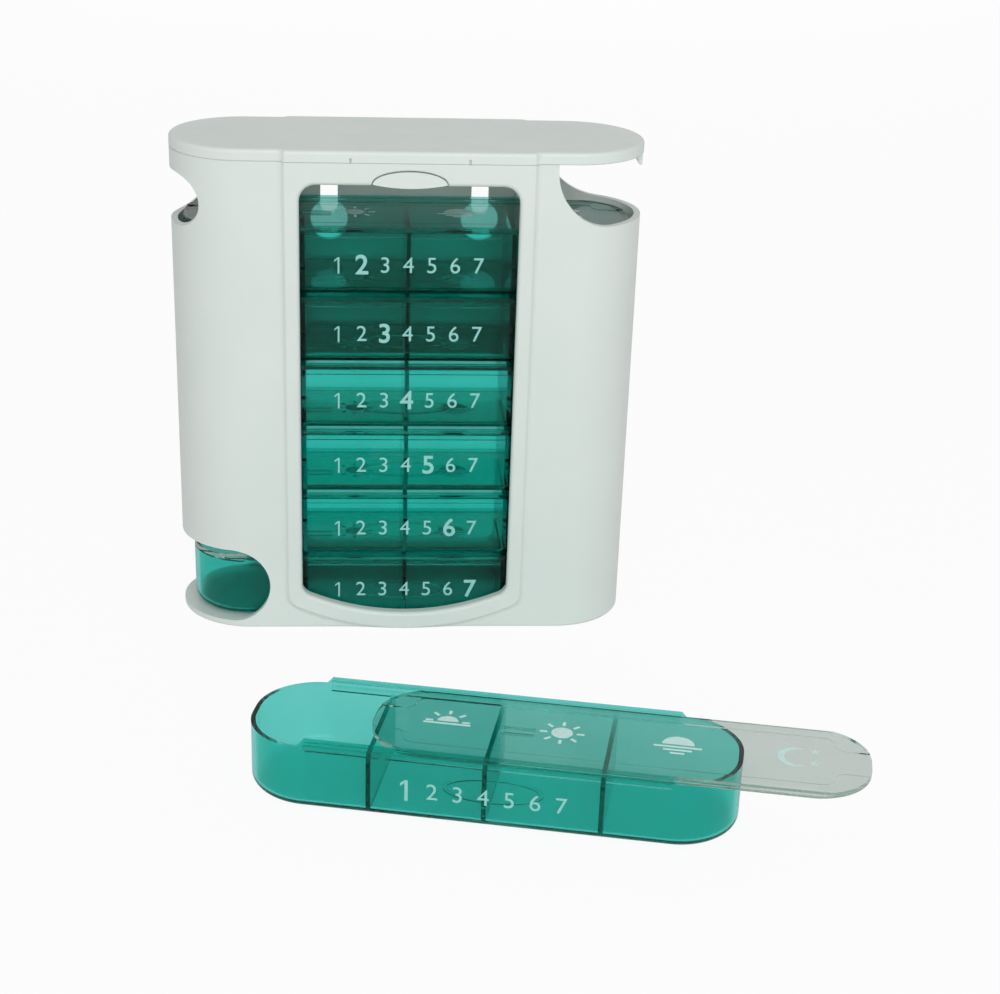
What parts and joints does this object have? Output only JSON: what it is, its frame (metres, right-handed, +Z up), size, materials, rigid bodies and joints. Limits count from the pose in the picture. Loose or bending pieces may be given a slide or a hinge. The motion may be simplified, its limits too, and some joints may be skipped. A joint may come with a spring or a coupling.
{
  "type": "weekly pill organizer",
  "caption": "Tower pill organizer: stacked day trays with sliding clear lids in a white tube with a front window, a loading slot at the top and an exit at the foot.",
  "frame": {"origin": "middle of the tower's underside, on the table", "axes": "+Z up, -Y out of the front window, +X to the side of the loading opening"},
  "size_m": [0.1767, 0.1724, 0.141],
  "materials": {
    "white_plastic": "moulded, satin gloss",
    "teal_clear_plastic": "tinted see-through, polished",
    "clear_plastic": "see-through, polished"
  },
  "bodies": {
    "tower": {"housing_body": "white_plastic", "roof_cap": "white_plastic"},
    "latch": {"latch_button": "white_plastic"},
    "day_1_tray": {"tray_1": "teal_clear_plastic"},
    "day_1_lid": {"lid_1": "clear_plastic"},
    "day_2_tray": {"tray_2": "teal_clear_plastic", "lid_2": "clear_plastic"},
    "day_3_tray": {"tray_3": "teal_clear_plastic", "lid_3": "clear_plastic"},
    "day_4_tray": {"tray_4": "teal_clear_plastic", "lid_4": "clear_plastic"},
    "day_5_tray": {"tray_5": "teal_clear_plastic", "lid_5": "clear_plastic"},
    "day_6_tray": {"tray_6": "teal_clear_plastic", "lid_6": "clear_plastic"},
    "day_7_tray": {"tray_7": "teal_clear_plastic"},
    "day_7_lid": {"lid_7": "clear_plastic"}
  },
  "joints": [
    {"name": "latch_press", "type": "hinge", "parent": "tower", "child": "latch", "pos_m": [0, -0.01935, 0.13745], "axis": [1, 0, 0], "range_deg": [0, 7], "stiffness_Nm_per_rad": 0.25},
    {"name": "day_1_tray_lift", "type": "slide", "parent": "tower", "child": "day_1_tray", "axis": [0, 0, 1], "range_m": [0, 0.05]},
    {"name": "day_1_lid_slide", "type": "slide", "parent": "day_1_tray", "child": "day_1_lid", "axis": [0.9751, -0.2215, 0], "range_m": [-0.1212, 0.0588]},
    {"name": "day_2_tray_lift", "type": "slide", "parent": "tower", "child": "day_2_tray", "axis": [0, 0, 1], "range_m": [0, 0.0195]},
    {"name": "day_3_tray_lift", "type": "slide", "parent": "tower", "child": "day_3_tray", "axis": [0, 0, 1], "range_m": [0, 0.0195]},
    {"name": "day_4_tray_lift", "type": "slide", "parent": "tower", "child": "day_4_tray", "axis": [0, 0, 1], "range_m": [0, 0.0195]},
    {"name": "day_5_tray_lift", "type": "slide", "parent": "tower", "child": "day_5_tray", "axis": [0, 0, 1], "range_m": [0, 0.0195]},
    {"name": "day_6_tray_lift", "type": "slide", "parent": "tower", "child": "day_6_tray", "axis": [0, 0, 1], "range_m": [0, 0.0195]},
    {"name": "day_7_tray_slide", "type": "slide", "parent": "tower", "child": "day_7_tray", "axis": [-1, 0, 0], "range_m": [0, 0.125]},
    {"name": "day_7_lid_slide", "type": "slide", "parent": "day_7_tray", "child": "day_7_lid", "axis": [-1, 0, 0], "range_m": [0, 0.09]}
  ],
  "couplings": [
    {"joint": "day_3_tray_lift", "follows": "day_2_tray_lift", "ratio": 1},
    {"joint": "day_4_tray_lift", "follows": "day_2_tray_lift", "ratio": 1},
    {"joint": "day_5_tray_lift", "follows": "day_2_tray_lift", "ratio": 1},
    {"joint": "day_6_tray_lift", "follows": "day_2_tray_lift", "ratio": 1}
  ]
}
